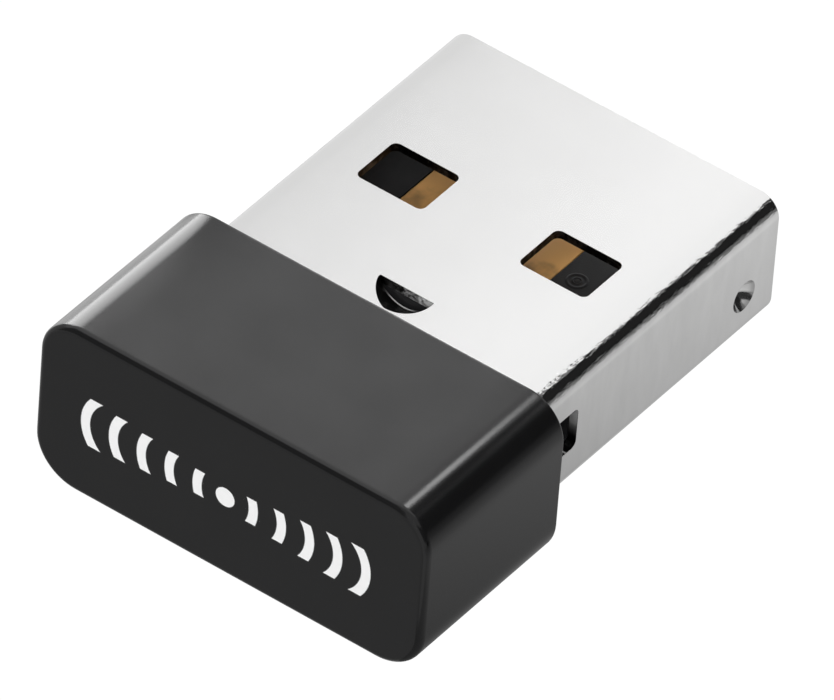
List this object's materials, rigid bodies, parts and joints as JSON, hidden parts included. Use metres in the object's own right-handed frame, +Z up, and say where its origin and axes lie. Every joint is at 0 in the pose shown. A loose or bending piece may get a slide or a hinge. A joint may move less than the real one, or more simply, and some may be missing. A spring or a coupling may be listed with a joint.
{
  "type": "nano usb wireless adapter",
  "caption": "Very short USB wireless adapter: a rounded black plastic cap pressed onto a steel A plug with square windows, a carrier tongue, gilt contacts and a circuit board inside.",
  "frame": {"origin": "on the surface the cap rests on, under the centre of the object's bounding box", "axes": "+Y out of the cap along the plug to its open tip, +Z up with the contacts facing up, +X across the plug"},
  "size_m": [0.014, 0.0186, 0.0061],
  "materials": {
    "cap_plastic": "fine satin moulded black, polished on the roundings",
    "shell_steel": "satin nickel plate over stamped steel",
    "carrier_plastic": "moulded black liquid crystal polymer",
    "contact_gold": "gold plated bronze, lightly worn",
    "board_mask": "green solder mask on glass epoxy",
    "film_polyimide": "clear amber film",
    "package_epoxy": "matte black mould compound",
    "crystal_can": "plated metal lid",
    "antenna_ceramic": "fired white ceramic",
    "capacitor_ceramic": "fired tan ceramic",
    "resistor_film": "black resin over ceramic",
    "inductor_ceramic": "grey-blue ceramic"
  },
  "bodies": {
    "root": {"outer_cap": "cap_plastic", "plug_shell": "shell_steel", "contact_carrier": "carrier_plastic", "contact_vbus": "contact_gold", "contact_data_minus": "contact_gold", "contact_data_plus": "contact_gold", "contact_ground": "contact_gold", "circuit_board": "board_mask", "insulating_film": "film_polyimide", "radio_chip": "package_epoxy", "memory_chip": "package_epoxy", "voltage_regulator": "package_epoxy", "crystal": "crystal_can", "chip_antenna": "antenna_ceramic", "decoupling_capacitor_1": "capacitor_ceramic", "decoupling_capacitor_2": "capacitor_ceramic", "decoupling_capacitor_3": "capacitor_ceramic", "decoupling_capacitor_4": "capacitor_ceramic", "decoupling_capacitor_5": "capacitor_ceramic", "decoupling_capacitor_6": "capacitor_ceramic", "crystal_load_capacitor_1": "capacitor_ceramic", "crystal_load_capacitor_2": "capacitor_ceramic", "supply_capacitor_1": "capacitor_ceramic", "supply_capacitor_2": "capacitor_ceramic", "data_line_resistor_1": "resistor_film", "data_line_resistor_2": "resistor_film", "matching_inductor_1": "inductor_ceramic", "matching_inductor_2": "inductor_ceramic"}
  },
  "joints": []
}
